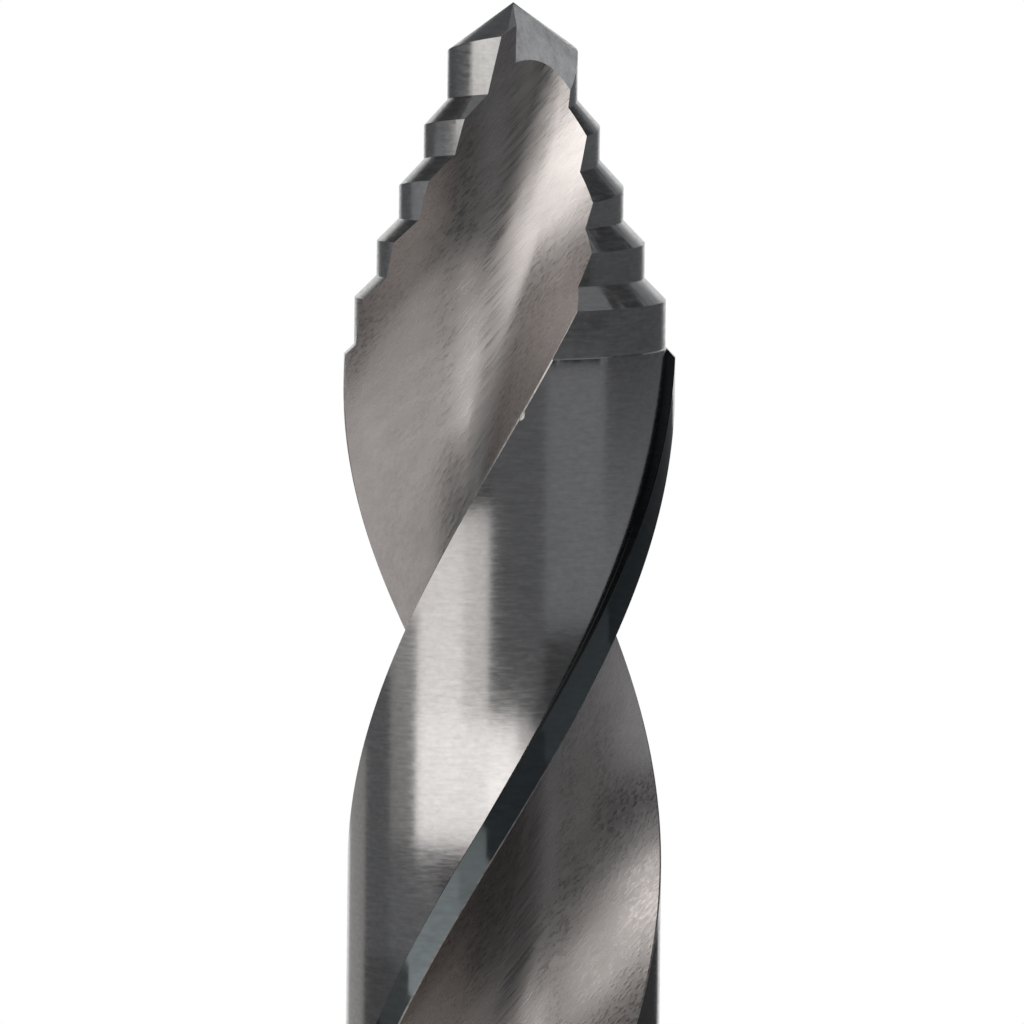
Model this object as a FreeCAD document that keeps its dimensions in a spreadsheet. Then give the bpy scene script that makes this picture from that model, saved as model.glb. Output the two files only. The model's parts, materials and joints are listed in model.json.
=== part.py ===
"""Twist drill bit with a stepped point: one piece of hardened steel.

The drill stands on the flat end of its plain shank, +Z runs up its axis to the tip, and the
origin is the centre of the shank's end face.  All lengths are millimetres, all angles degrees.

A drill of this kind is ground from a round bar, and the model follows the same order:
1. a fluted bar: the cross-section with its two flutes, screwed along the axis;
2. the form of the lands: a cylinder at the body clearance with a screwed rib at each margin;
3. the shank, with the curved run-out that the flute wheel leaves at its upper end;
4. a ground blank: a stack of cylinders and leaning cones, one stack for each cutting land, with
   the notches of the split point;
5. the drill is what the fluted bar with its shank and the ground blank have in common.
"""
import FreeCAD, Part
import math
import os

import Sketcher
from FreeCAD import Vector

doc = FreeCAD.newDocument("twist_drill_bit")

# Driving dimensions
SIZES = [
    ("diameter", 13.0, "cutting diameter and shank diameter"),
    ("overall_length", 151.0, "shank end to tip"),
    ("flute_length", 101.0, "tip to the end of the flute run-out"),
    ("shank_chamfer", 0.8, "45 degree chamfer at the shank end"),
    ("helix_angle", 30.75, "angle of the flutes at the cutting diameter, right hand"),
    ("lip_azimuth", 80.0, "direction of the first lip at the tip, from +X"),
    ("land_angle", 83.0, "land from cutting edge to heel, seen along the axis"),
    ("margin_angle", 11.0, "margin from cutting edge to its step"),
    ("margin_height", 0.35, "step from margin down to body clearance"),
    ("back_taper", 0.05, "loss of diameter over 100 mm of the body"),
    ("web_thickness", 2.8, "metal left between the two flutes"),
    ("root_radius", 2.8, "flute bottom"),
    ("root_angle", 49.6, "direction of the flute bottom ahead of the cutting edge"),
    ("rake_radius", 8.44, "flute face that forms the cutting edge"),
    ("back_radius", 14.0, "flute face that ends at the heel"),
    ("runout_radius", 28.0, "curve that the flute wheel leaves at the flute's end"),
    ("grinding_stock", 0.8, "extra radius on the fluted bar, ground off by the blank"),
    ("point_angle", 130.0, "included angle of the lips"),
    ("shoulder_angle", 90.0, "included angle of the shoulders between steps"),
    ("relief_turn", 48.0, "direction of the relief tilt ahead of the cutting edge"),
    ("split_turn", 15.0, "face of the split ahead of the lip"),
    ("notch_turn", 39.0, "direction that the notch faces, ahead of the lip"),
    ("notch_lean", 58.5, "lean of the notch from level"),
    ("notch_lift", 0.1, "rise of the notch above the tip, which leaves the chisel edge"),
    ("notch_overlap", 0.02, "cut of the notch past the centre of the web"),
    ("core_clearance", 0.2, "end of the run-out below the surface of the web"),
    ("rib_depth", 0.6, "root of the margin ribs below the body clearance"),
    ("rib_lead", 8.0, "reach of the margin ribs into the open flute"),
    ("seam_turn", 90.0, "seam of the turned shapes ahead of the cutting edge, at the shank"),
    ("bar_overlap", 3.0, "length of fluted bar buried in the shank"),
    ("end_allowance", 1.0, "stock beyond the tip and the shank end"),
    ("step_overlap", 3.0, "length of the step cylinders below the last shoulder"),
    ("cone_height", 50.0, "height of the cones that bound the steps"),
    ("wheel_size", 12.0, "size of the tools that cut the notch"),
]
# Steps from the tip: diameter, distance from the tip to the start of the full diameter, and the
# tilt that relieves the cone in front of it.
STEPS = [
    ("point", 5.1, None, 9.3),
    ("step_one", 6.9, 4.42, 3.7),
    ("step_two", 8.8, 6.83, 3.5),
    ("step_three", 10.5, 9.30, 1.0),
    ("step_four", 12.2, 11.59, 0.5),
    ("full", None, 13.86, 0.5),
]
# Worked-out lengths
FORMULAS = [
    ("body_radius", "=diameter / 2"),
    ("clearance_radius", "=body_radius - margin_height"),
    ("bar_radius", "=body_radius + grinding_stock"),
    ("heel_angle", "=180 - land_angle"),
    ("rib_radius", "=clearance_radius - rib_depth"),
    ("pitch", "=pi * diameter / tan(helix_angle)"),
    ("twist_rate", "=360 / pitch"),
    ("shank_length", "=overall_length - flute_length"),
    ("bar_start", "=shank_length - bar_overlap"),
    ("bar_height", "=flute_length + bar_overlap + end_allowance"),
    ("bar_turn", "=lip_azimuth - twist_rate * (overall_length - bar_start)"),
    ("seam_angle", "=lip_azimuth - twist_rate * flute_length + seam_turn"),
    ("core_radius", "=web_thickness / 2 - core_clearance"),
    ("point_slope", "=90 - point_angle / 2"),
    ("shoulder_slope", "=90 - shoulder_angle / 2"),
    ("step_floor", "=overall_length - full_start - step_overlap"),
    ("shank_radius", "=body_radius - back_taper / 200 * (step_floor - shank_length)"),
]


def fill_sheet():
    """Put the driving dimensions and the lengths worked out from them into the spreadsheet."""
    sheet = doc.addObject("Spreadsheet::Sheet", "dims")
    rows = [(name, str(value)) for name, value, _ in SIZES]
    for name, size, start, relief in STEPS:
        if size is not None:
            rows.append((name + "_diameter", str(size)))
        if start is not None:
            rows.append((name + "_start", str(start)))
        rows.append((name + "_relief", str(relief)))
    rows += FORMULAS
    for row, (name, text) in enumerate(rows, start=1):
        sheet.set("A%d" % row, name)
        sheet.set("B%d" % row, text)
        sheet.setAlias("B%d" % row, name)
    doc.recompute()
    return sheet


sheet = fill_sheet()


def size(name):
    """Read one length or angle from the sheet."""
    return float(sheet.get(name))


def bind(feature, **bindings):
    """Tie properties of a feature to cells; a double underscore stands for a dot."""
    for path, text in bindings.items():
        feature.setExpression(path.replace("__", "."), text)


def origin_plane(body, role):
    """Find one of a body's own origin planes."""
    return [plane for plane in body.Origin.OriginFeatures if plane.Role == role][0]


def new_sketch(body, role, name):
    """Start a sketch on one of the body's origin planes."""
    sketch = body.newObject("Sketcher::SketchObject", name)
    sketch.AttachmentSupport = [(origin_plane(body, role), "")]
    sketch.MapMode = "FlatFace"
    return sketch


def drive(sketch, label, constraint, text):
    """Add a named constraint to a sketch and tie it to the sheet."""
    index = sketch.addConstraint(constraint)
    sketch.renameConstraint(index, label)
    sketch.setExpression("Constraints." + label, text)


def polar(radius, angle):
    """A point of the section from its distance and direction, in the plane of the sketch."""
    turn = math.radians(angle)
    return Vector(radius * math.cos(turn), radius * math.sin(turn), 0)


LANDS = 2
START, END, CENTRE = range(1, 4)    # how a sketch numbers the points of an edge
ORIGIN = (-1, 1)
X_AXIS = -1


def arc(centre, first, last):
    """An arc about a centre, anticlockwise from the first point to the last."""
    radius = (first - centre).Length
    begin = math.atan2(first.y - centre.y, first.x - centre.x)
    finish = math.atan2(last.y - centre.y, last.x - centre.x)
    if finish < begin:
        finish += 2 * math.pi
    circle = Part.Circle(centre, Vector(0, 0, 1), radius)
    return Part.ArcOfCircle(circle, begin, finish)


def circle_crossing(one, one_radius, two, two_radius, near):
    """The point where two circles cross that lies nearest to a third point."""
    span = two - one
    along = (one_radius ** 2 - two_radius ** 2 + span.Length ** 2) / (2 * span.Length)
    rise = math.sqrt(max(one_radius ** 2 - along ** 2, 0))
    unit = Vector(span).normalize()
    side = Vector(-unit.y, unit.x, 0)
    found = [one + unit * along + side * rise, one + unit * along - side * rise]
    return min(found, key=lambda point: (point - near).Length)


def flute_layout():
    """Centres and joints of one flute's three arcs, in the frame of its cutting edge."""
    root, rake, back = size("root_radius"), size("rake_radius"), size("back_radius")
    lead = polar(size("body_radius"), 0)
    heel = polar(size("clearance_radius"), size("heel_angle"))
    root_centre = polar(size("web_thickness") / 2 + root, size("root_angle"))
    # Both larger arcs have their centres on the open side of the flute
    open_side = lead + heel
    rake_centre = circle_crossing(root_centre, rake - root, lead, rake, open_side)
    back_centre = circle_crossing(root_centre, back - root, heel, back, open_side)
    rake_joint = rake_centre + Vector(root_centre - rake_centre).normalize() * rake
    back_joint = back_centre + Vector(root_centre - back_centre).normalize() * back
    lead_edge = circle_crossing(rake_centre, rake, Vector(), size("bar_radius"), lead)
    heel_edge = circle_crossing(back_centre, back, Vector(), size("bar_radius"), heel)
    return dict(root_centre=root_centre, rake_centre=rake_centre, back_centre=back_centre,
                rake_joint=rake_joint, back_joint=back_joint, lead=lead, heel=heel,
                lead_edge=lead_edge, heel_edge=heel_edge)


def rule(kind, *where):
    """Short name for a sketch constraint."""
    return Sketcher.Constraint(kind, *where)


def mirror_through_axis(sketch, edges, twins):
    """Hold the twins at the edges turned half a turn about the axis."""
    for edge, twin in zip(edges, twins):
        sketch.addConstraint([
            rule("Symmetric", edge, START, twin, START, *ORIGIN),
            rule("Symmetric", edge, END, twin, END, *ORIGIN),
        ])
        if isinstance(sketch.Geometry[edge], Part.ArcOfCircle):
            sketch.addConstraint(rule("Equal", edge, twin))


def hold_on_ray(sketch, point, name, angle, *targets):
    """Hold a point of the section on a ray from the axis whose angle is a size."""
    ray = sketch.addGeometry(Part.LineSegment(Vector(), point), True)
    sketch.addConstraint([
        rule("Coincident", ray, START, *ORIGIN),
        rule("Coincident", ray, END, *targets[0]),
    ])
    for edge, end in targets[1:]:
        sketch.addConstraint(rule("PointOnObject", edge, end, ray))
    drive(sketch, name, rule("Angle", ray, math.radians(angle[0])), angle[1])
    return ray


def draw_section(sketch):
    """Draw the whole cross-section of the bar with its two flutes."""
    place = flute_layout()

    def half(sign):
        def put(name):
            return Vector(place[name]) * sign
        return [
            arc(put("rake_centre"), put("rake_joint"), put("lead_edge")),
            arc(put("root_centre"), put("back_joint"), put("rake_joint")),
            arc(put("back_centre"), put("heel_edge"), put("back_joint")),
            arc(Vector(), put("heel_edge"), put("lead_edge") * -1),
        ]

    rake, root, back, outside = edges = sketch.addGeometry(half(1), False)
    twins = sketch.addGeometry(half(-1), False)
    lead, heel = sketch.addGeometry([Part.Point(place["lead"]), Part.Point(place["heel"])], True)
    sketch.addConstraint([
        rule("Tangent", rake, START, root, END),
        rule("Tangent", root, START, back, END),
        rule("Coincident", outside, CENTRE, *ORIGIN),
        rule("Coincident", back, START, outside, START),
        rule("Coincident", outside, END, twins[0], END),
        rule("PointOnObject", lead, START, X_AXIS),
        rule("PointOnObject", lead, START, rake),
        rule("PointOnObject", heel, START, back),
    ])
    mirror_through_axis(sketch, edges, twins)
    for edge, name in [(rake, "rake_radius"), (root, "root_radius"), (back, "back_radius"),
                       (outside, "bar_radius")]:
        drive(sketch, name.replace("_r", "R"), rule("Radius", edge, size(name)), "dims." + name)
    drive(sketch, "leadRadius", rule("DistanceX", *ORIGIN, lead, START, size("body_radius")),
          "dims.body_radius")

    # Rays from the axis hold the flute bottom and the heel
    to_root = hold_on_ray(sketch, place["root_centre"], "rootAngle",
                          (size("root_angle"), "dims.root_angle"), (root, CENTRE))
    to_heel = hold_on_ray(sketch, place["heel"], "heelAngle",
                          (size("heel_angle"), "dims.heel_angle"), (heel, START))
    drive(sketch, "rootDistance",
          rule("Distance", to_root, size("web_thickness") / 2 + size("root_radius")),
          "dims.web_thickness / 2 + dims.root_radius")
    drive(sketch, "heelRadius", rule("Distance", to_heel, size("clearance_radius")),
          "dims.clearance_radius")


def draw_rib(sketch):
    """Draw one margin rib: a sector from below the clearance to beyond the blank."""
    behind, ahead = -size("margin_angle"), size("rib_lead")
    inner, outer = size("rib_radius"), size("bar_radius")
    corners = [polar(inner, behind), polar(outer, behind), polar(inner, ahead), polar(outer, ahead)]
    bottom, top, step, front = sketch.addGeometry([
        arc(Vector(), corners[0], corners[2]), arc(Vector(), corners[1], corners[3]),
        Part.LineSegment(corners[0], corners[1]), Part.LineSegment(corners[2], corners[3]),
    ], False)
    sketch.addConstraint([
        rule("Coincident", bottom, CENTRE, *ORIGIN), rule("Coincident", top, CENTRE, *ORIGIN),
        rule("Coincident", step, START, bottom, START), rule("Coincident", step, END, top, START),
        rule("Coincident", front, START, bottom, END), rule("Coincident", front, END, top, END),
    ])
    drive(sketch, "bottomRadius", rule("Radius", bottom, inner), "dims.rib_radius")
    drive(sketch, "topRadius", rule("Radius", top, outer), "dims.bar_radius")
    hold_on_ray(sketch, polar(outer, behind), "stepAngle", (behind, "-dims.margin_angle"),
                (top, START), (bottom, START))
    hold_on_ray(sketch, polar(outer, ahead), "frontAngle", (ahead, "dims.rib_lead"),
                (top, END), (bottom, END))


def section_sketch(body, name, turn=0):
    """A sketch across the axis at the foot of the bar, turned with the flutes."""
    sketch = new_sketch(body, "XY_Plane", name)
    sketch.AttachmentOffset = FreeCAD.Placement(
        Vector(0, 0, size("bar_start")), FreeCAD.Rotation(Vector(0, 0, 1), size("bar_turn") + turn))
    bind(sketch, AttachmentOffset__Base__z="dims.bar_start",
         AttachmentOffset__Rotation__Angle="dims.bar_turn + %d" % turn)
    return sketch


def screw(body, sketch, name):
    """Screw a sketch along the axis at the pitch of the flutes."""
    doc.recompute()
    helix = body.newObject("PartDesign::AdditiveHelix", name)
    helix.Profile = sketch
    helix.ReferenceAxis = (sketch, ["N_Axis"])
    helix.Mode = "pitch-height-angle"
    bind(helix, Pitch="dims.pitch", Height="dims.bar_height")
    doc.recompute()


def turn_seam(feature):
    """Turn a round shape so that its seam lies in an open flute, whatever the flutes' length."""
    bind(feature, Placement__Rotation__Angle="dims.seam_angle")
    return feature


def fluted_bar():
    """The bar with its two flutes."""
    body = doc.addObject("PartDesign::Body", "fluted_bar")
    section = section_sketch(body, "section")
    draw_section(section)
    screw(body, section, "flutes")
    return body


def margin_rib(land):
    """The screwed rib at the margin of one land."""
    body = doc.addObject("PartDesign::Body", "margin_rib_%d" % (land + 1))
    rib = section_sketch(body, "rib_%d" % (land + 1), 180 * land)
    draw_rib(rib)
    screw(body, rib, "margin_%d" % (land + 1))
    return body


def land_form():
    """The outside of the lands: the body clearance, with a rib at each margin."""
    clearance = turn_seam(doc.addObject("Part::Cylinder", "clearance"))
    bind(clearance, Radius="dims.clearance_radius",
         Height="dims.bar_height + 2 * dims.end_allowance",
         Placement__Base__z="dims.bar_start - dims.end_allowance")
    form = doc.addObject("Part::MultiFuse", "land_form")
    form.Shapes = [clearance] + [margin_rib(land) for land in range(LANDS)]
    return form


def shank():
    """The shank, with the run-out of the flutes at its upper end."""
    body = turn_seam(doc.addObject("PartDesign::Body", "shank_with_runout"))
    profile = new_sketch(body, "XZ_Plane", "shank_profile")
    draw_shank(profile)
    doc.recompute()
    turned = body.newObject("PartDesign::Revolution", "turned_shank")
    turned.Profile = profile
    turned.ReferenceAxis = (profile, ["V_Axis"])
    turned.Angle = 360
    doc.recompute()
    return body


def draw_shank(sketch):
    """Half outline of the shank, ending in the curve that the flute wheel leaves."""
    core, bar, radius = size("core_radius"), size("bar_radius"), size("body_radius")
    wheel, chamfer = size("runout_radius"), size("shank_chamfer")
    foot = radius - chamfer

    def reach(at):
        return math.sqrt(wheel ** 2 - (wheel + core - at) ** 2)
    top = size("shank_length") + reach(radius)
    centre = Vector(core + wheel, top, 0)
    points = [Vector(0, 0, 0), Vector(foot, 0, 0), Vector(bar, bar - foot, 0),
              Vector(bar, top - reach(bar), 0)]
    end, axis_end = Vector(core, top, 0), Vector(0, top, 0)
    base, bevel, side, cap, axis = sketch.addGeometry([
        Part.LineSegment(points[0], points[1]), Part.LineSegment(points[1], points[2]),
        Part.LineSegment(points[2], points[3]), Part.LineSegment(end, axis_end),
        Part.LineSegment(axis_end, points[0])], False)
    runout = sketch.addGeometry(arc(centre, end, points[3]), False)
    mark = sketch.addGeometry(Part.Point(Vector(radius, size("shank_length"), 0)), True)
    sketch.addConstraint([
        rule("Coincident", base, START, *ORIGIN), rule("Coincident", base, END, bevel, START),
        rule("Coincident", bevel, END, side, START), rule("Coincident", side, END, runout, END),
        rule("Coincident", runout, START, cap, START), rule("Coincident", cap, END, axis, START),
        rule("Coincident", axis, END, base, START), rule("Horizontal", base),
        rule("Vertical", side), rule("Horizontal", cap), rule("Vertical", axis),
        rule("Horizontal", runout, START, runout, CENTRE),
        rule("PointOnObject", mark, START, runout),
        rule("Angle", bevel, math.radians(45)),
    ])
    drive(sketch, "footRadius", rule("DistanceX", *ORIGIN, base, END, foot),
          "dims.body_radius - dims.shank_chamfer")
    drive(sketch, "sideRadius", rule("DistanceX", *ORIGIN, side, START, bar), "dims.bar_radius")
    drive(sketch, "coreRadius", rule("DistanceX", *ORIGIN, cap, START, core), "dims.core_radius")
    drive(sketch, "wheelRadius", rule("Radius", runout, wheel), "dims.runout_radius")
    drive(sketch, "markRadius", rule("DistanceX", *ORIGIN, mark, START, radius),
          "dims.body_radius")
    drive(sketch, "markHeight", rule("DistanceY", *ORIGIN, mark, START, size("shank_length")),
          "dims.shank_length")


def lean(feature, azimuth, angle):
    """Tip a feature's own axis towards an azimuth; both are expressions of the sheet."""
    bind(feature, Placement__Rotation__Axis__x="-sin(%s)" % azimuth,
         Placement__Rotation__Axis__y="cos(%s)" % azimuth,
         Placement__Rotation__Axis__z="0",
         Placement__Rotation__Angle=angle)


def ground_step(land, step):
    """One land of one step: half a cylinder under a cone that leans back for relief."""
    name, diameter, start, relief = step
    label = "%s_land_%d" % (name, land + 1)
    radius = "dims.%s" % ("body_radius" if diameter is None else name + "_diameter / 2")
    slope = "dims.point_slope" if start is None else "dims.shoulder_slope"
    depth = "0" if start is None else "(dims.%s_start - %s * tan(%s))" % (name, radius, slope)
    edge = "0" if start is None else "dims.%s_start" % name
    lip = "(dims.lip_azimuth + %d)" % (180 * land)
    tilt_from = "(%s - dims.twist_rate * %s + dims.relief_turn)" % (lip, edge)
    tilt = "dims.%s_relief" % name
    rise = "(%s + %s * cos(dims.relief_turn))" % (slope, tilt)
    height = "dims.cone_height"
    apex = "(dims.overall_length - %s)" % depth

    cone = doc.addObject("Part::Cone", label + "_cone")
    cone.Radius2 = 0
    bind(cone, Height=height, Radius1="%s / tan(%s)" % (height, rise))
    lean(cone, "(%s + 180)" % tilt_from, tilt)
    bind(cone,
         Placement__Base__x="%s * sin(%s) * cos(%s)" % (height, tilt, tilt_from),
         Placement__Base__y="%s * sin(%s) * sin(%s)" % (height, tilt, tilt_from),
         Placement__Base__z="%s - %s * cos(%s)" % (apex, height, tilt))

    half = doc.addObject("Part::Cylinder", label + "_half")
    half.Angle = 180
    bind(half, Radius=radius, Height="%s - dims.step_floor" % apex,
         Placement__Base__z="dims.step_floor",
         Placement__Rotation__Angle="%s + dims.split_turn - 180" % lip)
    common = doc.addObject("Part::Common", label)
    common.Base = half
    common.Tool = cone
    return common


def notch(land):
    """The split of one lip: a wedge between the split face and the face of a leaning wheel."""
    lip = "(dims.lip_azimuth + %d)" % (180 * land)
    split = "(%s + dims.split_turn)" % lip
    facing = "(%s + dims.notch_turn)" % lip

    wheel = doc.addObject("Part::Cylinder", "wheel_%d" % (land + 1))
    bind(wheel, Radius="dims.wheel_size", Height="dims.wheel_size",
         Placement__Base__z="dims.overall_length + dims.notch_lift")
    lean(wheel, facing, "dims.notch_lean")

    side = doc.addObject("Part::Cylinder", "split_%d" % (land + 1))
    side.Angle = 180
    bind(side, Radius="dims.wheel_size", Height="dims.wheel_size",
         Placement__Base__x="dims.notch_overlap * sin(%s)" % split,
         Placement__Base__y="-dims.notch_overlap * cos(%s)" % split,
         Placement__Base__z="dims.overall_length - dims.wheel_size / 2",
         Placement__Rotation__Angle=split)
    wedge = doc.addObject("Part::Common", "notch_%d" % (land + 1))
    wedge.Base = wheel
    wedge.Tool = side
    return wedge


def ground_blank():
    """The outside of the drill: the plain cylinder, the steps of both lands and the notches."""
    plain = turn_seam(doc.addObject("Part::Cylinder", "plain_length"))
    bind(plain, Radius="dims.shank_radius", Height="dims.shank_length + dims.end_allowance",
         Placement__Base__z="-dims.end_allowance")
    taper = turn_seam(doc.addObject("Part::Cone", "tapered_length"))
    bind(taper, Radius1="dims.shank_radius", Radius2="dims.body_radius",
         Height="dims.step_floor - dims.shank_length", Placement__Base__z="dims.shank_length")
    steps = [ground_step(land, step) for land in range(LANDS) for step in STEPS]
    stack = doc.addObject("Part::MultiFuse", "ground_steps")
    stack.Shapes = [plain, taper] + steps
    stack.Refine = True
    split = doc.addObject("Part::MultiFuse", "notches")
    split.Shapes = [notch(land) for land in range(LANDS)]
    blank = doc.addObject("Part::Cut", "ground_blank")
    blank.Base = stack
    blank.Tool = split
    return blank


def drill_bit():
    """What the fluted bar with its shank and the ground blank have in common is the drill."""
    lands = doc.addObject("Part::Common", "fluted_lands")
    lands.Base = fluted_bar()
    lands.Tool = land_form()
    rough = doc.addObject("Part::Fuse", "rough_drill")
    rough.Base = lands
    rough.Tool = shank()
    drill = doc.addObject("Part::Common", "drill_bit")
    drill.Label = "drill_bit"
    drill.Base = rough
    drill.Tool = ground_blank()
    drill.Refine = True
    return drill


def check(pieces):
    """Stop if any object failed or a finished piece is not one valid solid."""
    failed = [item.Label for item in doc.Objects
              if "Invalid" in item.State or "Error" in item.State]
    if failed:
        raise RuntimeError("these objects failed: " + ", ".join(failed))
    for piece in pieces:
        shape = piece.Shape
        if shape.isNull() or not shape.isValid() or len(shape.Solids) != 1:
            raise RuntimeError(piece.Label + " is not one valid solid")


pieces = [drill_bit()]
doc.recompute()
check(pieces)

os.makedirs("parts", exist_ok=True)
for piece in pieces:
    piece.Shape.exportStep("parts/%s.step" % piece.Label)
    print("%s: %.1f cubic millimetres, %d faces" % (
        piece.Label, piece.Shape.Volume, len(piece.Shape.Faces)))
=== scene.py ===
# %% [markdown]
# # A stepped twist drill, rebuilt in Blender
# A twist drill starts as a round bar of tool steel. Two flutes are ground along it on a helix,
# the outside is ground so that it only rubs on two narrow margins, and last the point is ground.
# This drill has a small pilot point with four steps behind it, so that it centres itself and
# opens the hole a little at a time. The lesson follows the same order: bar, lands, shank, point,
# and then the finish that each grinding wheel leaves.

import json
from math import asin, atan2, cos, degrees, pi, radians, sin, sqrt, tan

import bmesh
import bpy
from mathutils import Matrix, Vector
from mathutils.geometry import intersect_sphere_sphere_2d

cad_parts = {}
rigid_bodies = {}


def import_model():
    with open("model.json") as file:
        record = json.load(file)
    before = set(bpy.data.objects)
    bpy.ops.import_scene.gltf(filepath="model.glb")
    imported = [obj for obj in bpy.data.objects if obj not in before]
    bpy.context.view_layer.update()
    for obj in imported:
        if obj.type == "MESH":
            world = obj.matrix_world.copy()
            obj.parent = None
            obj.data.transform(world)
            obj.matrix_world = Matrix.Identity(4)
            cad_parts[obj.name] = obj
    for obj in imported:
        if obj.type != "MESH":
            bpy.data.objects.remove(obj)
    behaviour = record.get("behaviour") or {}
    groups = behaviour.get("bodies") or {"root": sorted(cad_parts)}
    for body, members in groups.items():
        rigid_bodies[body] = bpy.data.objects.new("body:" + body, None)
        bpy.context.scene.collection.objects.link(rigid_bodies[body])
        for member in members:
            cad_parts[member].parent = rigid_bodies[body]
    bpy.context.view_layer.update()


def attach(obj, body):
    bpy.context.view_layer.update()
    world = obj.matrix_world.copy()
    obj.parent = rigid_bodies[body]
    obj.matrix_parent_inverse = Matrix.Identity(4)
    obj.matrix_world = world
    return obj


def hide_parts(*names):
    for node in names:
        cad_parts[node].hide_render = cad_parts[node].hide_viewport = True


for leftover in list(bpy.data.objects):     # the start-up file may hold a cube
    bpy.data.objects.remove(leftover, do_unlink=True)
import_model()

# %% [markdown]
# ## The sizes
# These are the sizes of the CAD model, in millimetres and degrees. Angles on the section are
# measured from the cutting edge of one flute. Forward is the way the drill would have to turn
# backwards, from the land into the open flute.

# %% Sizes of the drill
LENGTH, RADIUS = 151.0, 6.5
SHANK = 50.0                        # the plain part, below the flutes
CHAMFER = 0.8                       # at the end of the shank
HELIX = 30.75                       # lean of the cutting edges
PITCH = pi * 2 * RADIUS / tan(radians(HELIX))
LIP = 80.0                          # direction of the first lip at the tip
CLEARANCE = RADIUS - 0.35           # the lands between their margins
SHANK_RADIUS = 6.479                # a little less, because the body tapers back
MARGIN, LAND = 11.0, 83.0           # how far both reach behind a cutting edge
HEEL = 180 - LAND
WEB = 2.8                           # the core that is left between the flutes
ROOT, RAKE, BACK = 2.8, 8.44, 14.0  # radii of the three arcs of a flute
ROOT_TURN = 49.6                    # direction of the flute's bottom
WHEEL, CORE = 28.0, 1.2             # run-out curve, and where it ends inside the web
print("Pitch", round(PITCH, 2), "mm, or", round(360 / PITCH, 2), "degrees for each mm")

# %% Where a point of the section lies on the helix
FOOT, TOP = SHANK - 0.3, LENGTH + 1         # the bar is a little longer than its flutes


def lead_turn(height):
    """Direction of the first cutting edge at a height."""
    return LIP - 360 / PITCH * (LENGTH - height)


def polar(radius, turn, height=0.0):
    """A point from its radius and its direction."""
    return Vector((radius * cos(radians(turn)), radius * sin(radians(turn)), height))


def on_section(radius, turn):
    """A point of the section at the foot of the bar, measured from its cutting edge."""
    return polar(radius, turn + lead_turn(FOOT), FOOT)


# %% [markdown]
# ## Small helpers for working by hand
# An operator acts on all that is selected. So each helper first lets go of everything, and each
# piece of the drill is drawn in its own object.

# %% Helpers for objects and modifiers


def let_go():
    """Leave edit mode and deselect every object."""
    if bpy.context.object and bpy.context.object.mode != "OBJECT":
        bpy.ops.object.mode_set(mode="OBJECT")
    bpy.ops.object.select_all(action="DESELECT")


def take(piece):
    """Make one object the only selected and active one."""
    let_go()
    piece.select_set(True)
    bpy.context.view_layer.objects.active = piece
    return piece


def apply(piece, modifier):
    """Apply a modifier that was just set."""
    take(piece)
    bpy.ops.object.modifier_apply(modifier=modifier.name)
    return piece


def remove(*pieces):
    """Delete helper objects that have done their work."""
    for piece in pieces:
        bpy.data.objects.remove(piece, do_unlink=True)


def volume(piece):
    """Volume of a closed mesh, in its own units."""
    mesh = bmesh.new()
    mesh.from_mesh(piece.data)
    amount = mesh.calc_volume()
    loose = sum(not edge.is_manifold for edge in mesh.edges)
    mesh.free()
    return "%.1f cubic mm, %d faces, %d open edges" % (amount, len(piece.data.polygons), loose)


# %% Helpers that draw an outline from one point


def first_point(name, place):
    """A new object in edit mode that holds one selected point."""
    let_go()
    bpy.ops.mesh.primitive_plane_add(size=1)
    piece = bpy.context.object
    piece.name = piece.data.name = name
    bpy.ops.object.mode_set(mode="EDIT")
    bpy.ops.mesh.select_mode(type="VERT")
    bpy.ops.mesh.select_all(action="SELECT")
    bpy.ops.mesh.merge(type="CENTER")
    bpy.ops.transform.translate(value=place)
    return piece


def line_to(start, end):
    """Extrude the selected point along a straight line."""
    bpy.ops.mesh.extrude_region_move(TRANSFORM_OT_translate={"value": end - start})
    return end


def arc_about(centre, turn, steps, axis=(0, 0, 1)):
    """Extrude the selected point along an arc, anticlockwise where the turn is positive."""
    bpy.ops.mesh.spin(steps=steps, angle=-radians(turn), center=centre, axis=axis)


def turn_between(centre, start, end):
    """Angle from one point to another round a centre, anticlockwise."""
    one, two = start - centre, end - centre
    return degrees(atan2(two.y, two.x) - atan2(one.y, one.x)) % 360


def crossing(one, one_radius, two, two_radius, near):
    """Where two circles of the section cross, nearest to a third point."""
    found = intersect_sphere_sphere_2d(one.xy, one_radius, two.xy, two_radius)
    return min((Vector((*point, FOOT)) for point in found), key=lambda p: (p - near).length)


# %% [markdown]
# ## The finishes on one piece of steel
# Every wheel leaves its own surface. The drill is one piece, so it is one mesh with several
# materials, and each face gets its finish as soon as it is made. A later cut hands the
# material on. The materials are empty for now, and get their nodes near the end.

# %% Name the finishes
FINISHES = ["flute", "land", "margin", "wall", "step", "notch", "shank", "edge"]
for finish in FINISHES:
    bpy.data.materials.new("drill_" + finish).use_nodes = True


def dress(piece, choose):
    """Give a piece all the finishes, and each of its faces the one that choose names."""
    for finish in FINISHES:
        piece.data.materials.append(bpy.data.materials["drill_" + finish])
    for face in piece.data.polygons:
        face.material_index = FINISHES.index(choose(face))
    return piece


# %% [markdown]
# ## The fluted bar
# Seen from its end, a drill's section is two lands and two flutes. Each flute is three arcs: the
# rake face that makes the cutting edge, the round bottom, and the back that ends at the heel. The
# outline is drawn by spinning one point about the centres of those arcs, and half of it is
# enough, because the other half is the same turned round.

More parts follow.
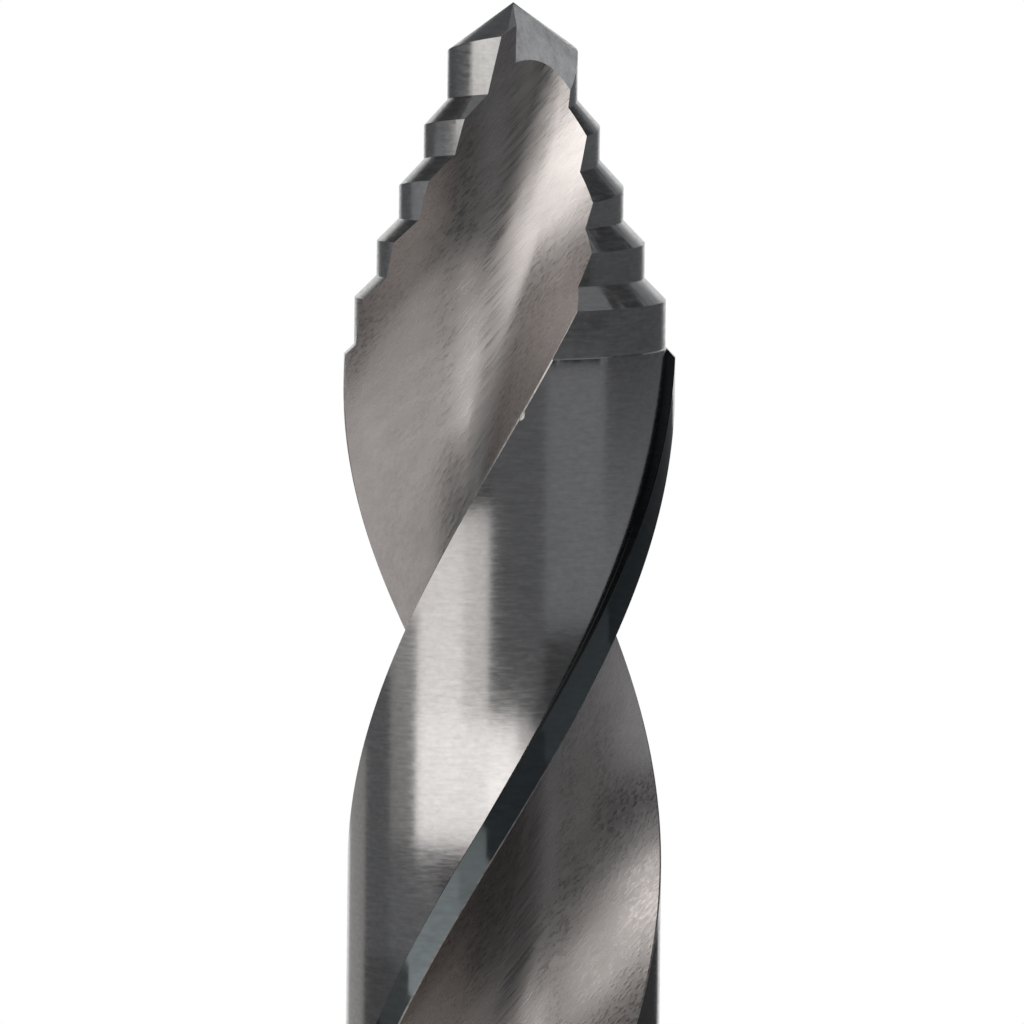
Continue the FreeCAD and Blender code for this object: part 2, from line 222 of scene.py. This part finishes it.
# %% Centres of the three arcs of a flute
lead, heel = on_section(RADIUS, 0), on_section(CLEARANCE, HEEL)
open_side = lead + heel
root_centre = on_section(WEB / 2 + ROOT, ROOT_TURN)
rake_centre = crossing(root_centre, RAKE - ROOT, lead, RAKE, open_side)
back_centre = crossing(root_centre, BACK - ROOT, heel, BACK, open_side)
axis_foot = Vector((0, 0, FOOT))
print("Flute bottom at radius", WEB / 2, "mm, heel at radius", round(heel.xy.length, 2), "mm")

# %% Draw half of the section
EDGE, LEAD_EDGE, HEEL_EDGE = 0.03, 0.06, 0.06       # widths of the flats on worn edges
edge_turn, heel_turn = degrees(EDGE / RADIUS), degrees(HEEL_EDGE / CLEARANCE)
lead_flat = degrees(LEAD_EDGE / RADIUS)
back_joint, rake_joint = back_centre - root_centre, rake_centre - root_centre
worn_heel = back_centre + Matrix.Rotation(HEEL_EDGE / BACK, 3, "Z") @ (heel - back_centre)
bar = first_point("fluted_bar", worn_heel)
arc_about(back_centre, turn_between(back_centre, worn_heel, back_centre - back_joint), 10)
arc_about(root_centre, turn_between(root_centre, root_centre - back_joint,
                                    root_centre - rake_joint), 16)
rake_turn = turn_between(rake_centre, rake_centre - rake_joint, lead)
arc_about(rake_centre, rake_turn - degrees(LEAD_EDGE / RAKE), 14)
worn_lead = Matrix.Rotation(-LEAD_EDGE / RAKE, 3, "Z") @ (lead - rake_centre) + rake_centre
line_to(worn_lead, on_section(RADIUS, -lead_flat))
arc_about(axis_foot, lead_flat + edge_turn - MARGIN, 4)
place = line_to(on_section(RADIUS, edge_turn - MARGIN), on_section(RADIUS - EDGE, -MARGIN))
place = line_to(place, on_section(CLEARANCE + EDGE, -MARGIN))
line_to(place, on_section(CLEARANCE, -MARGIN - edge_turn))
arc_about(axis_foot, MARGIN + edge_turn + heel_turn - LAND, 24)
line_to(on_section(CLEARANCE, heel_turn - LAND), Vector((-worn_heel.x, -worn_heel.y, FOOT)))

# %% Turn a copy of it to close the outline
bpy.ops.mesh.select_all(action="SELECT")
bpy.ops.mesh.duplicate()
bpy.ops.transform.resize(value=(-1, -1, 1), center_override=(0, 0, 0))
bpy.ops.mesh.select_all(action="SELECT")
bpy.ops.mesh.remove_doubles(threshold=0.001)
bpy.ops.object.mode_set(mode="OBJECT")
print("Outline:", len(bar.data.vertices), "points,", len(bar.data.edges), "edges")

# %% Screw it up the axis and close both ends
helix = bar.modifiers.new("helix", "SCREW")
helix.axis = "Z"
helix.screw_offset = TOP - FOOT
helix.angle = radians(360 / PITCH * (TOP - FOOT))
helix.steps = helix.render_steps = 240
helix.use_normal_calculate = True
apply(bar, helix)
bpy.ops.object.mode_set(mode="EDIT")
bpy.ops.mesh.select_all(action="SELECT")
bpy.ops.mesh.fill_holes(sides=0)
bpy.ops.mesh.select_all(action="SELECT")
bpy.ops.mesh.normals_make_consistent(inside=False)
bpy.ops.object.mode_set(mode="OBJECT")

# %% Tell its faces apart
NARROW = 0.05                       # square mm; only the faces of the flats are smaller
CLOSE = 0.02                        # mm; a face this near to a cylinder belongs to it


def bar_finish(face):
    """Land and margin lie behind the cutting edge, on two cylinders; the rest is flute."""
    radius = face.center.xy.length
    behind = (lead_turn(face.center.z) - degrees(atan2(face.center.y, face.center.x))) % 180
    by_margin = 1 < behind < MARGIN + 1
    if face.area < NARROW:
        return "wall" if by_margin else "edge"
    if radius > RADIUS - CLOSE / 2:
        return "margin"
    if radius > CLEARANCE + CLOSE and by_margin:
        return "wall"
    on_land = radius > CLEARANCE - CLOSE and 1 < behind < LAND + 1 and face.normal.z < 0.5
    return "land" if on_land else "flute"


dress(bar, bar_finish)
print("Fluted bar:", volume(bar))

# %% [markdown]
# ## The shank
# The flute wheel is lifted out of the bar at the end of the flutes, and leaves its own curve
# there. So the shank is a turned shape: a chamfered cylinder that ends in that curve.

# %% Turn the shank
curve_top = SHANK + sqrt(WHEEL ** 2 - (WHEEL + CORE - RADIUS) ** 2)
side_top = curve_top - sqrt(WHEEL ** 2 - (WHEEL + CORE - SHANK_RADIUS) ** 2)
shank = first_point("shank", Vector((0, 0, 0)))
place = line_to(Vector((0, 0, 0)), Vector((RADIUS - CHAMFER, 0, 0)))
place = line_to(place, Vector((SHANK_RADIUS, 0, SHANK_RADIUS - RADIUS + CHAMFER)))
line_to(place, Vector((SHANK_RADIUS, 0, side_top)))
sweep = degrees(atan2(curve_top - side_top, WHEEL + CORE - SHANK_RADIUS))
arc_about(Vector((CORE + WHEEL, 0, curve_top)), sweep, 24, axis=(0, 1, 0))
line_to(Vector((CORE, 0, curve_top)), Vector((0, 0, curve_top)))
bpy.ops.mesh.select_all(action="SELECT")
arc_about((0, 0, 0), 360, 240)
bpy.ops.mesh.select_all(action="SELECT")
bpy.ops.mesh.remove_doubles(threshold=0.0005)
bpy.ops.mesh.normals_make_consistent(inside=False)
bpy.ops.object.mode_set(mode="OBJECT")
dress(shank, lambda face: "shank" if face.center.z < SHANK else "flute")
print("Shank:", volume(shank))

# %% Join it to the fluted bar


def carve(piece, operation, *tools):
    """Join, cut or overlap a piece with other closed pieces, which are used up."""
    for tool in tools:
        step = piece.modifiers.new("carve", "BOOLEAN")
        step.operation, step.object, step.solver = operation, tool, "MANIFOLD"
        apply(piece, step)
    remove(*tools)
    return piece


carve(bar, "UNION", shank)
print("Bar with its shank:", volume(bar))

# %% [markdown]
# ## The stepped point
# The point is ground last. Around the axis it is a stair of small cylinders, and every step ends
# in a cone. Each land has its own cones, which lean back so that only the cutting edge touches
# the work. Without that relief a drill would rub and not cut. So each land gets a tool that has
# the shape of what the wheel takes away: the stair is drawn as a profile and spun through half a
# turn, and then every point sinks or rises with the lean of its cone.

# %% Sizes of the steps
POINT_SLOPE, SHOULDER_SLOPE = 25.0, 45.0
STEPS = [                           # radius, start behind the tip, tilt of the cone
    (2.55, None, 9.3),
    (3.45, 4.42, 3.7),
    (4.4, 6.83, 3.5),
    (5.25, 9.30, 1.0),
    (6.1, 11.59, 0.5),
    (RADIUS + 0.01, 13.86, 0.5),    # ends just outside the bar
]
FLOOR = LENGTH - STEPS[-1][1] - 3   # the tool reaches 3 mm below the last cone
RELIEF_TURN, SPLIT_TURN = 48.0, 15.0

# %% The stair of corners, from the tip outwards
corners = [(0.0, STEPS[0])]
for step, outer in zip(STEPS, STEPS[1:] + [None]):
    corners.append((step[0], step))
    if outer:
        corners.append((step[0], outer))
print(len(corners), "corners")

# %% Height of a corner in a direction from the axis


def cone_height(corner, lip, turn):
    """Where the leaning cone of a step passes over a radius, in a direction from the axis."""
    reach, (radius, start, tilt) = corner
    slope = radians(POINT_SLOPE if start is None else SHOULDER_SLOPE)
    apex = LENGTH - (0 if start is None else start - radius * tan(slope))
    high_side = lip - 360 / PITCH * (start or 0) + RELIEF_TURN
    rise, lean = slope + radians(tilt) * cos(radians(RELIEF_TURN)), radians(tilt)
    across = sin(lean) * cos(radians(turn - high_side))
    fall = asin(sin(rise) / sqrt(across ** 2 + cos(lean) ** 2)) - atan2(across, cos(lean))
    return apex - reach * tan(fall)


print("Lip at the pilot's edge:", round(cone_height(corners[1], LIP, LIP), 2), "mm up;",
      "its heel:", round(cone_height(corners[1], LIP, LIP - LAND), 2))

# %% Grind one land
OUTSIDE, CEILING = 9.0, LENGTH + 3  # the tool is wider and higher than the bar
OVERLAP = 0.1                       # the two tools pass each other by this many degrees


def grind(lip):
    """The tool that takes away the outside of the point over half a turn."""
    begin = lip + SPLIT_TURN - 180 - OVERLAP
    heights = {}
    place = polar(0, begin, CEILING)
    tool = first_point("wheel", place)
    for corner in corners:
        level = cone_height(corner, lip, begin)
        heights[round(corner[0], 3), round(level, 3)] = corner
        place = line_to(place, polar(corner[0], begin, level))
    for radius, level in [(corners[-1][0], FLOOR), (OUTSIDE, FLOOR), (OUTSIDE, CEILING)]:
        place = line_to(place, polar(radius, begin, level))
    bpy.ops.mesh.select_all(action="SELECT")
    bpy.ops.mesh.edge_face_add()
    arc_about((0, 0, 0), 180 + 2 * OVERLAP, 120)
    bpy.ops.mesh.select_all(action="SELECT")
    bpy.ops.mesh.remove_doubles(threshold=0.0005)
    bpy.ops.mesh.normals_make_consistent(inside=False)
    bpy.ops.object.mode_set(mode="OBJECT")
    for point in tool.data.vertices:
        corner = heights.get((round(point.co.xy.length, 3), round(point.co.z, 3)))
        if corner and corner[0]:
            turn = degrees(atan2(point.co.y, point.co.x))
            point.co.z = cone_height(corner, lip, turn)
    print("Grinding tool:", volume(tool))
    return dress(tool, lambda face: "step")


carve(bar, "DIFFERENCE", grind(LIP), grind(LIP + 180))
print("Stepped point:", volume(bar))

# %% Split the point
NOTCH_FACING, NOTCH_LEAN = 39.0, 58.5       # how the wheel of the notches is set
WEDGE = 12.0                        # radius and depth of the cylinder it is cut from
NOTCH_REACH = 6.0                   # down from the tip
CHISEL = 0.02                       # what is left between a notch and the axis


def notch(turn):
    """The wedge that a wheel takes out beside one lip, down to the chisel edge."""
    let_go()
    facing = turn + NOTCH_FACING
    lean = Matrix.Rotation(radians(NOTCH_LEAN), 3, polar(1, facing + 90))
    centre = Vector((0, 0, LENGTH + 0.1)) + lean @ Vector((0, 0, WEDGE / 2))
    bpy.ops.mesh.primitive_cylinder_add(vertices=64, radius=WEDGE, depth=WEDGE, location=centre,
                                        rotation=lean.to_euler())
    bpy.ops.object.transform_apply()
    wedge = bpy.context.object
    bpy.ops.object.mode_set(mode="EDIT")
    bpy.ops.mesh.select_all(action="SELECT")
    bpy.ops.mesh.bisect(plane_co=polar(CHISEL, turn + SPLIT_TURN - 90),
                        plane_no=polar(1, turn + SPLIT_TURN + 90), clear_inner=True,
                        use_fill=True, threshold=0.0001)
    bpy.ops.mesh.select_all(action="SELECT")
    bpy.ops.mesh.bisect(plane_co=(0, 0, LENGTH - NOTCH_REACH), plane_no=(0, 0, 1), clear_inner=True,
                        use_fill=True, threshold=0.0001)
    bpy.ops.object.mode_set(mode="OBJECT")
    print("Notch:", volume(wedge))
    return dress(wedge, lambda face: "notch")


carve(bar, "DIFFERENCE", notch(LIP), notch(LIP + 180))
print("Drill:", volume(bar))

# %% [markdown]
# ## Wear
# A drill that has been handled has a nick where its heel struck another tool. It is a small
# dent with a rough floor. The rims of the steps are not quite sharp either, so they get a
# bevel, but only there: the long edges of the lands were already drawn with their flats.

# %% Strike the nick
NICK = 135.3                        # height of the nick
struck = polar(CLEARANCE + 0.12, lead_turn(NICK) - LAND - 0.4, NICK)
let_go()
bpy.ops.mesh.primitive_ico_sphere_add(subdivisions=2, radius=0.22, location=struck)
dent = bpy.context.object
dent.scale = (1, 1, 1.7)
bpy.ops.object.transform_apply()
carve(bar, "DIFFERENCE", dress(dent, lambda face: "edge"))
print("With its nick:", volume(bar))

# %% Mark the rims of the steps
RIM = 28.0                          # an edge that turns more than this is a rim
rims = bar.data.attributes.new("bevel_weight_edge", "FLOAT", "EDGE")
mesh = bmesh.new()
mesh.from_mesh(bar.data)
mesh.edges.ensure_lookup_table()
for edge in mesh.edges:
    beside = {FINISHES[face.material_index] for face in edge.link_faces}
    if beside & {"step", "notch"} and edge.calc_face_angle(0) > radians(RIM):
        rims.data[edge.index].value = 1
mesh.free()
print(sum(rim.value > 0 for rim in rims.data), "edges on the rims")

# %% Break them and smooth the rest
take(bar)
edge_break = bar.modifiers.new("edge_break", "BEVEL")
edge_break.width, edge_break.segments, edge_break.limit_method = 0.05, 2, "WEIGHT"
edge_break.material = FINISHES.index("edge")
apply(bar, edge_break)
bpy.ops.object.shade_smooth_by_angle(angle=radians(22))
flat = bar.modifiers.new("flat", "WEIGHTED_NORMAL")         # large faces stay flat
flat.keep_sharp = True
apply(bar, flat)

# %% [markdown]
# ## From millimetres to metres
# The frame is in metres, so the drill is scaled once, and the scale goes into the mesh.

# %% Scale the drill and hand it over
bar.scale = (0.001,) * 3
bpy.ops.object.transform_apply(location=False, rotation=False, scale=True)
bar.name = bar.data.name = "ground_drill"
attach(bar, "root")
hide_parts("drill_bit")
bar.data.calc_loop_triangles()
print("Finished drill:", len(bar.data.loop_triangles), "triangles")

# %% [markdown]
# ## Camera
# The photograph was taken from far away with a long lens, a little from above, and it shows the
# upper 40 mm of the drill.

# %% Camera
DISTANCE = 1.5
FRAME_WIDTH = 0.040137              # metres across the picture
ELEVATION, ROLL = 4.2, 0.594
target = Vector((0.000157, 0, 0.13098))
up = radians(ELEVATION)
camera_data = bpy.data.cameras.new("camera")
camera_data.lens = camera_data.sensor_width * DISTANCE / FRAME_WIDTH
camera_data.clip_start, camera_data.clip_end = 0.01, 50
camera = bpy.data.objects.new("camera", camera_data)
bpy.context.scene.collection.objects.link(camera)
camera.location = target + DISTANCE * Vector((0, -cos(up), sin(up)))
aim = (target - camera.location).to_track_quat("-Z", "Y").to_matrix()
camera.rotation_euler = (aim @ Matrix.Rotation(radians(ROLL), 3, "Z")).to_euler()
bpy.context.scene.camera = camera
bpy.context.scene.view_settings.view_transform = "Standard"
print("Lens of", round(camera_data.lens), "mm at", DISTANCE, "m")

# %% [markdown]
# ## The finish of each wheel
# A ground surface is a field of very fine parallel scratches. On the lands they run round the
# drill. In the flutes they lie in the plane of the wheel, which leans more than the flute
# itself. To draw them, a noise is stretched along the scratches. For the flutes the coordinates
# are first turned back by the twist at their height and then slanted by the rest of the lean.
# The noise changes the colour and the roughness a little, and lifts the surface by a hair.

# %% Helpers for nodes


def add(tree, kind, **inputs):
    """Add a node; each input is a value, or a socket of another node to link."""
    node = tree.nodes.new(kind)
    for name, value in inputs.items():
        socket = node.inputs[name.replace("_", " ")]
        if isinstance(value, bpy.types.NodeSocket):
            tree.links.new(value, socket)
        else:
            socket.default_value = value
    return node


def scratches(tree, place, stretch, detail=3.0):
    """Noise on coordinates in millimetres, stretched by a size in each direction."""
    scaled = add(tree, "ShaderNodeMapping", Vector=place, Scale=[1 / size for size in stretch])
    noise = add(tree, "ShaderNodeTexNoise", Vector=scaled.outputs[0], Scale=1.0, Detail=detail,
                Roughness=0.6)
    return noise.outputs["Fac"]


def spread(tree, value, low, high):
    """Spread the middle of a noise over a range."""
    ranged = add(tree, "ShaderNodeMapRange", Value=value)
    for name, number in zip(("From Min", "From Max", "To Min", "To Max"), (0.3, 0.7, low, high)):
        ranged.inputs[name].default_value = number
    return ranged.outputs["Result"]


def millimetres(tree):
    """Object coordinates in millimetres."""
    place = add(tree, "ShaderNodeTexCoord")
    return add(tree, "ShaderNodeMapping", Vector=place.outputs["Object"],
               Scale=(1000, 1000, 1000)).outputs[0]


# %% A ground surface


def ground_surface(name, colour, rough, scratch, cloud, contrast, anisotropic=0.0):
    """Fill one of the drill's materials from its colour, its roughness and two noises."""
    tree = bpy.data.materials["drill_" + name].node_tree
    shader = tree.nodes["Principled BSDF"]
    shader.inputs["Metallic"].default_value = 1.0
    shader.inputs["Anisotropic"].default_value = anisotropic
    both = add(tree, "ShaderNodeMix", Factor=0.5, A=scratch, B=cloud)
    shade = add(tree, "ShaderNodeMixRGB", Fac=spread(tree, both.outputs["Result"], 0.0, 1.0),
                Color1=(*[part * (1 - contrast) for part in colour], 1),
                Color2=(*[part * (1 + contrast) for part in colour], 1))
    tree.links.new(shade.outputs[0], shader.inputs["Base Color"])
    tree.links.new(spread(tree, scratch, rough * 0.8, rough * 1.25), shader.inputs["Roughness"])
    return shader


def lift(tree, shader, height, amount):
    """Raise the surface with a noise, by an amount in millimetres."""
    bump = add(tree, "ShaderNodeBump", Height=height, Strength=1.0, Distance=amount / 1000)
    tree.links.new(bump.outputs[0], shader.inputs["Normal"])


# %% Coordinates that follow the wheel along the flutes
SLANT = 0.78                        # what the wheel leans more than the flute, as a slope


def compute(tree, operation, *values):
    """A maths node; each value is a number or a socket."""
    node = tree.nodes.new("ShaderNodeMath")
    node.operation = operation
    for socket, value in zip(node.inputs, values):
        if isinstance(value, bpy.types.NodeSocket):
            tree.links.new(value, socket)
        else:
            socket.default_value = value
    return node.outputs[0]


def along_flute(tree, place):
    """Out of the flute, across it and up it, for whichever flute a point is nearer to."""
    height = add(tree, "ShaderNodeSeparateXYZ", Vector=place).outputs["Z"]
    middle = radians(360 / PITCH * LENGTH - LIP - ROOT_TURN)
    twist = compute(tree, "MULTIPLY_ADD", height, -2 * pi / PITCH, middle)
    untwisted = add(tree, "ShaderNodeVectorRotate", Vector=place, Angle=twist)
    untwisted.rotation_type = "Z_AXIS"
    out, across, height = add(tree, "ShaderNodeSeparateXYZ",
                              Vector=untwisted.outputs[0]).outputs
    across = compute(tree, "MULTIPLY", across, compute(tree, "SIGN", out))
    slanted = compute(tree, "MULTIPLY_ADD", height, -SLANT, across)
    return add(tree, "ShaderNodeCombineXYZ", X=out, Y=slanted, Z=height).outputs[0]


# %% Flutes
tree = bpy.data.materials["drill_flute"].node_tree
place = along_flute(tree, millimetres(tree))
along = scratches(tree, place, (0.12, 0.12, 4.0), 1.5)
cloud = scratches(tree, place, (0.8, 0.8, 1.6), 4.0)
shader = ground_surface("flute", (0.44, 0.414, 0.403), 0.29, along, cloud, 0.16)
lift(tree, shader, along, 0.004)

# %% The notches of the split point, ground along the axis
tree = bpy.data.materials["drill_notch"].node_tree
place = millimetres(tree)
along = scratches(tree, place, (0.13, 0.13, 3.0))
cloud = scratches(tree, place, (0.35, 0.35, 1.5))
ground_surface("notch", (0.5, 0.49, 0.48), 0.3, along, cloud, 0.35)

# %% Lands, steps and shank, ground round the axis
for name, colour, rough, aniso in [("land", (0.465, 0.455, 0.45), 0.125, 0.9),
                                   ("step", (0.43, 0.425, 0.42), 0.21, 0.5),
                                   ("shank", (0.465, 0.455, 0.45), 0.25, 0.5)]:
    tree = bpy.data.materials["drill_" + name].node_tree
    place = millimetres(tree)
    around = scratches(tree, place, (0.8, 0.8, 0.12))
    cloud = scratches(tree, place, (0.3, 0.3, 0.2), 4.0)
    shader = ground_surface(name, colour, rough, around, cloud, 0.15, aniso)
    lift(tree, shader, around, 0.0002)
    radial = add(tree, "ShaderNodeTangent")
    radial.direction_type, radial.axis = "RADIAL", "Z"
    tree.links.new(radial.outputs[0], shader.inputs["Tangent"])

# %% Dark margins, the walls behind them, and the worn edges
TILT = 0.117                        # what a margin leans towards the tip, as a slope
# The walls are coloured almost black, so they reflect almost nothing.
for name, colour, rough, contrast in [("margin", (0.105, 0.121, 0.126), 0.1, 0.12),
                                      ("wall", (0.012, 0.014, 0.015), 0.3, 0.18),
                                      ("edge", (0.36, 0.35, 0.34), 0.38, 0.4)]:
    tree = bpy.data.materials["drill_" + name].node_tree
    fine = scratches(tree, millimetres(tree), (0.6, 0.6, 0.2))
    shader = ground_surface(name, colour, rough, fine, fine, contrast)
    if name == "margin":
        tilted = add(tree, "ShaderNodeVectorMath")
        tree.links.new(add(tree, "ShaderNodeNewGeometry").outputs["Normal"], tilted.inputs[0])
        tilted.inputs[1].default_value = (0, 0, TILT)
        tilted = add(tree, "ShaderNodeVectorMath", Vector=tilted.outputs[0])
        tilted.operation = "NORMALIZE"
        tree.links.new(tilted.outputs[0], shader.inputs["Normal"])
print(len(FINISHES), "finishes:", *FINISHES)

# %% [markdown]
# ## The studio
# Polished and ground steel has no colour of its own to show: it shows what stands round it. So
# the drill stands inside a ring of cards, as a product photographer would put them, and their
# edges give the sharp-edged patches on the land and the dark ones beside them. The background
# is white, and the ring is open at the back, so the outline of the steel picks that white up.
# The cards are seen only in reflections.

# %% A card that curves round the drill
CARD_RING, BEHIND, FAR_RING = 60, 61, 64            # distances of the cards from the axis
WARM, COOL = (1.02, 1.0, 0.985, 1), (0.97, 1.0, 1.05, 1)
BRIGHT = 0.3                        # a card above this level is warm, and one below it cool


def glowing(name, level, low, high, top_level):
    """A material that glows evenly, or changes from a card's lower edge to its upper one."""
    material = bpy.data.materials.new(name)
    material.use_nodes = True
    tree = material.node_tree
    tree.nodes.remove(tree.nodes["Principled BSDF"])
    place = add(tree, "ShaderNodeTexCoord").outputs["Object"]
    height = add(tree, "ShaderNodeSeparateXYZ", Vector=place).outputs["Z"]
    change = add(tree, "ShaderNodeMapRange", Value=height)
    for socket, number in zip(("From Min", "From Max", "To Min", "To Max"),
                              (low / 1000, high / 1000, level, top_level)):
        change.inputs[socket].default_value = number
    glow = add(tree, "ShaderNodeEmission", Color=WARM if level > BRIGHT else COOL,
               Strength=change.outputs["Result"])
    tree.links.new(glow.outputs[0], tree.nodes["Material Output"].inputs["Surface"])
    return material


def only_reflected(piece):
    """Set up a piece of the studio that only shows in reflections."""
    piece.visible_camera = piece.visible_diffuse = piece.visible_shadow = False


def card(name, from_turn, to_turn, low, high, level, top_level, distance=CARD_RING):
    """A glowing card; directions are from the camera, positive to its right."""
    start = polar(distance, from_turn - 90, low)
    piece = first_point(name, start)
    line_to(start, polar(distance, from_turn - 90, high))
    bpy.ops.mesh.select_all(action="SELECT")
    arc_about((0, 0, 0), to_turn - from_turn, max(2, round((to_turn - from_turn) / 4)))
    bpy.ops.object.mode_set(mode="OBJECT")
    piece.scale = (0.001,) * 3
    bpy.ops.object.transform_apply(location=False, rotation=False, scale=True)
    piece.data.materials.append(glowing(name, level, low, high, top_level))
    only_reflected(piece)


# %% Place the cards
# Name, directions of its two ends, heights of its two edges, level at the lower and at the
# upper edge, and the distance where it isn't the usual one.
CARDS = [
    ("dark_ring", -155, 155, -20, 220, 0.05, 0.05, FAR_RING),
    ("floor_left", -155, 26, -20, 97, 0.88, 0.6),
    ("floor_right", 26, 155, -20, 97, 0.75, 0.3),
    ("low_left", -155, -68, 97, 105, 0.6, 0.6),
    ("low_key", -68, -12, 97, 105, 0.85, 0.8),
    ("low_front", -12, 26, 97, 105, 0.52, 0.5),
    ("low_right", 26, 155, 97, 105, 0.06, 0.06),
    ("side_left", -155, -120, 105, 134, 0.4, 0.3),
    ("side_upper", -155, -120, 134, 150, 0.12, 0.12),
    ("under_dark", -120, -68, 105, 109, 0.1, 0.1),
    ("under_left", -68, -30, 105, 109, 0.47, 0.45),
    ("under_right", -30, 155, 105, 109, 0.05, 0.05),
    ("frame_low", -90, -46, 109, 113.8, 0.19, 0.19),
    ("frame_left", -90, -66, 113.8, 127.5, 0.31, 0.5),
    ("side_dark", -120, -90, 109, 122.6, 0.15, 0.15),
    ("side_grey", -120, -90, 122.6, 142, 0.2, 0.38),
    ("dark_low", -46, 155, 109, 113.8, 0.04, 0.04),
    ("key_low", -66, -12, 113.8, 119, 1.55, 1.65),
    ("key", -66, -30, 119, 127.5, 1.4, 1.15),
    ("key_right", -30, -12, 119, 127.5, 0.95, 1.0),
    ("strip", -12, 8, 113.8, 119, 2.0, 1.7),
    ("strip_end", 8, 18, 113.8, 119, 1.3, 0.9),
    ("dark_front", -12, 26, 119, 134, 0.15, 0.16),
    ("dark_right", 26, 155, 113.8, 122.6, 0.07, 0.07),
    ("right_grey", 26, 72, 122.6, 134, 0.26, 0.26),
    ("right_side", 72, 155, 122.6, 134, 0.3, 0.1),
    ("gap_left", -90, -66, 127.5, 134, 0.48, 0.3),
    ("gap", -66, -12, 127.5, 134, 0.04, 0.08),
    ("over_left", -90, -66, 134, 142, 0.5, 0.55),
    ("over_gap", -66, -12, 134, 142, 0.55, 0.8),
    ("dark_top", -12, 72, 134, 142, 0.02, 0.05),
    ("top_side", -120, -76, 142, 160, 0.14, 0.2, BEHIND),
    ("top_edge", -110, -77, 160, 172, 1.0, 1.4, BEHIND),
    ("top_low_left", -76, -46, 142, 150, 1.3, 1.4),
    ("top_low", -46, -12, 142, 150, 1.5, 1.3),
    ("top_front", -12, 8, 142, 160, 0.6, 0.35),
    ("top_right", 26, 72, 142, 150, 0.4, 0.2),
    ("back_top", 72, 155, 134, 172, 0.1, 0.35),
    ("top_left", -77, -30, 150, 172, 1.55, 2.15),
    ("top_middle", -30, -12, 150, 172, 0.6, 1.1),
    ("top_far", -12, 8, 160, 172, 0.8, 0.85),
    ("high_side", -120, -90, 160, 220, 1.0, 0.15),
    ("high_left", -90, -68, 172, 220, 0.9, 0.85),
    ("high_key", -68, -12, 172, 220, 2.6, 2.35),
    ("high_front", -12, 8, 172, 220, 1.68, 1.55),
    ("high_dark", 8, 26, 142, 220, 0.1, 0.45),
    ("high_right", 50, 100, 160, 220, 0.3, 0.85),
    ("dark_crown", 155, 205, 165, 222, 0.12, 0.12, FAR_RING),
]
for row in CARDS:
    card(*row)
print(len(CARDS), "cards")

# %% A lid over the ring
LID_HEIGHT, LID_LEVEL = 0.222, 0.26
let_go()
bpy.ops.mesh.primitive_circle_add(vertices=48, radius=FAR_RING / 1000,
                                  location=(0, 0, LID_HEIGHT), fill_type="NGON")
lid = bpy.context.object
lid.name = "lid"
bpy.ops.object.transform_apply()
lid.data.materials.append(glowing("lid", LID_LEVEL, 0, 1, LID_LEVEL))
only_reflected(lid)

# %% A world that is white to the camera and in reflections, and dimmer to the floor
DIM = 0.5
world = bpy.data.worlds.new("studio")
bpy.context.scene.world = world
world.use_nodes = True
tree = world.node_tree
path = add(tree, "ShaderNodeLightPath")
seen = compute(tree, "MAXIMUM", path.outputs["Is Camera Ray"], path.outputs["Is Glossy Ray"])
seen = compute(tree, "MAXIMUM", seen, path.outputs["Is Transmission Ray"])
strength = add(tree, "ShaderNodeMapRange", Value=seen)
strength.inputs["To Min"].default_value = DIM
tree.links.new(strength.outputs["Result"], tree.nodes["Background"].inputs["Strength"])
tree.nodes["Background"].inputs["Color"].default_value = (1, 1, 1, 1)

# %% Floor
let_go()
bpy.ops.mesh.primitive_circle_add(vertices=96, radius=0.5, fill_type="NGON")
floor = bpy.context.object
floor.name = "floor"
paper = bpy.data.materials.new("paper")
paper.use_nodes = True
shader = paper.node_tree.nodes["Principled BSDF"]
shader.inputs["Base Color"].default_value = (0.8, 0.8, 0.79, 1)
shader.inputs["Roughness"].default_value = 0.9
shader.inputs["Specular IOR Level"].default_value = 0
floor.data.materials.append(paper)

# %% A soft lamp above, for the shadow on the floor
lamp_data = bpy.data.lights.new("lamp", "AREA")
lamp_data.shape, lamp_data.size, lamp_data.energy = "DISK", 0.5, 3.0
lamp = bpy.data.objects.new("lamp", lamp_data)
bpy.context.scene.collection.objects.link(lamp)
lamp.location = (-0.4, -0.35, 0.7)
lamp.rotation_euler = (-lamp.location).to_track_quat("-Z", "Y").to_euler()
lamp.visible_glossy = False
